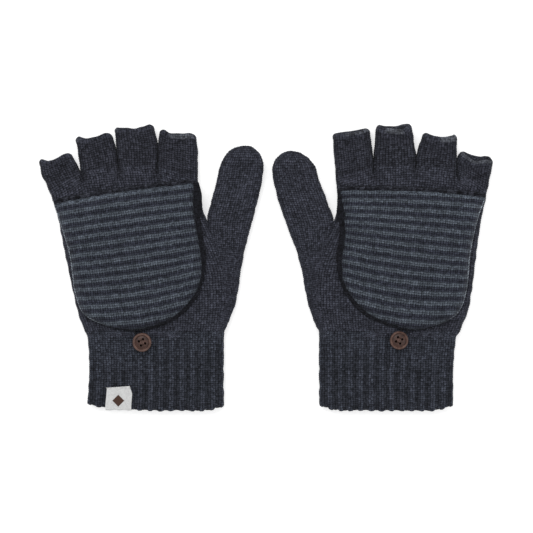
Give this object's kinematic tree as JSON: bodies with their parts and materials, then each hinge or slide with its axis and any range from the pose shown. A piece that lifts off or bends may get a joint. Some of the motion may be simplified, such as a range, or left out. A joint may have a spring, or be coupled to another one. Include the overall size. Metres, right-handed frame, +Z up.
{
  "type": "convertible flip-top mittens",
  "caption": "Pair of knitted half-finger mittens with full thumbs and a striped flip cap that buttons back on the cuff.",
  "frame": {"origin": "under the middle of the pair, on the surface it lies on", "axes": "+X from the left mitten to the right one, +Y towards the fingertips, +Z up out of the backs of the hands"},
  "size_m": [0.3, 0.189, 0.0176],
  "materials": {
    "navy_rib_knit": "2x2 rib knit, acrylic wool blend",
    "navy_plain_knit": "plain stockinette knit, acrylic wool blend",
    "navy_edge_knit": "elastic overlocked edge",
    "navy_seam_yarn": "linking yarn",
    "dark_plain_knit": "plain stockinette knit, darker yarn",
    "striped_knit": "stockinette knit in two-row stripes of slate and navy",
    "cap_hem_knit": "turned knit edge",
    "loop_cord": "elastic cord",
    "brown_button": "brown four-hole button, moulded with a woody look",
    "dark_thread": "sewing thread",
    "label_fabric": "woven satin label",
    "label_mark_ink": "woven-in dark mark",
    "label_thread": "sewing thread"
  },
  "bodies": {
    "left_mitten": {"left_cuff": "navy_rib_knit", "left_hand": "navy_plain_knit", "left_thumb": "navy_plain_knit", "left_knuckle_seam": "navy_seam_yarn", "left_little_finger": "navy_plain_knit", "left_ring_finger": "navy_plain_knit", "left_middle_finger": "navy_plain_knit", "left_index_finger": "navy_plain_knit", "left_little_finger_edge": "navy_edge_knit", "left_ring_finger_edge": "navy_edge_knit", "left_middle_finger_edge": "navy_edge_knit", "left_index_finger_edge": "navy_edge_knit", "left_label": "label_fabric", "left_label_mark": "label_mark_ink", "left_label_stitches": "label_thread"},
    "left_cap": {"left_cap_under": "dark_plain_knit", "left_cap_top": "striped_knit", "left_cap_mouth_hem": "cap_hem_knit", "left_cap_side_seam": "navy_seam_yarn", "left_button_loop": "loop_cord"},
    "left_button": {"left_button": "brown_button", "left_button_thread": "dark_thread"},
    "right_mitten": {"right_cuff": "navy_rib_knit", "right_hand": "navy_plain_knit", "right_thumb": "navy_plain_knit", "right_knuckle_seam": "navy_seam_yarn", "right_little_finger": "navy_plain_knit", "right_ring_finger": "navy_plain_knit", "right_middle_finger": "navy_plain_knit", "right_index_finger": "navy_plain_knit", "right_little_finger_edge": "navy_edge_knit", "right_ring_finger_edge": "navy_edge_knit", "right_middle_finger_edge": "navy_edge_knit", "right_index_finger_edge": "navy_edge_knit"},
    "right_cap": {"right_cap_under": "dark_plain_knit", "right_cap_top": "striped_knit", "right_cap_mouth_hem": "cap_hem_knit", "right_cap_side_seam": "navy_seam_yarn", "right_button_loop": "loop_cord"},
    "right_button": {"right_button": "brown_button", "right_button_thread": "dark_thread"}
  },
  "joints": [
    {"name": "left_cap_flip", "type": "hinge", "parent": "left_mitten", "child": "left_cap", "pos_m": [-0.09413, 0.05291, 0.0141], "axis": [-0.9898, -0.1423, 0], "range_deg": [0, 176], "deforming": ["left_button_loop"]},
    {"name": "left_button_tilt", "type": "hinge", "parent": "left_mitten", "child": "left_button", "pos_m": [-0.0815, -0.04876, 0.0098], "axis": [1, 0, 0], "range_deg": [-6, 6], "stiffness_Nm_per_rad": 0.0002},
    {"name": "right_cap_flip", "type": "hinge", "parent": "right_mitten", "child": "right_cap", "pos_m": [0.09778, 0.05323, 0.0141], "axis": [-0.9958, 0.0917, 0], "range_deg": [0, 176], "deforming": ["right_button_loop"]},
    {"name": "right_button_tilt", "type": "hinge", "parent": "right_mitten", "child": "right_button", "pos_m": [0.0875, -0.04746, 0.0098], "axis": [1, 0, 0], "range_deg": [-6, 6], "stiffness_Nm_per_rad": 0.0002},
    {"name": "right_mitten_apart", "type": "slide", "parent": "left_mitten", "child": "right_mitten", "axis": [1, 0, 0], "range_m": [0, 0.06]}
  ]
}
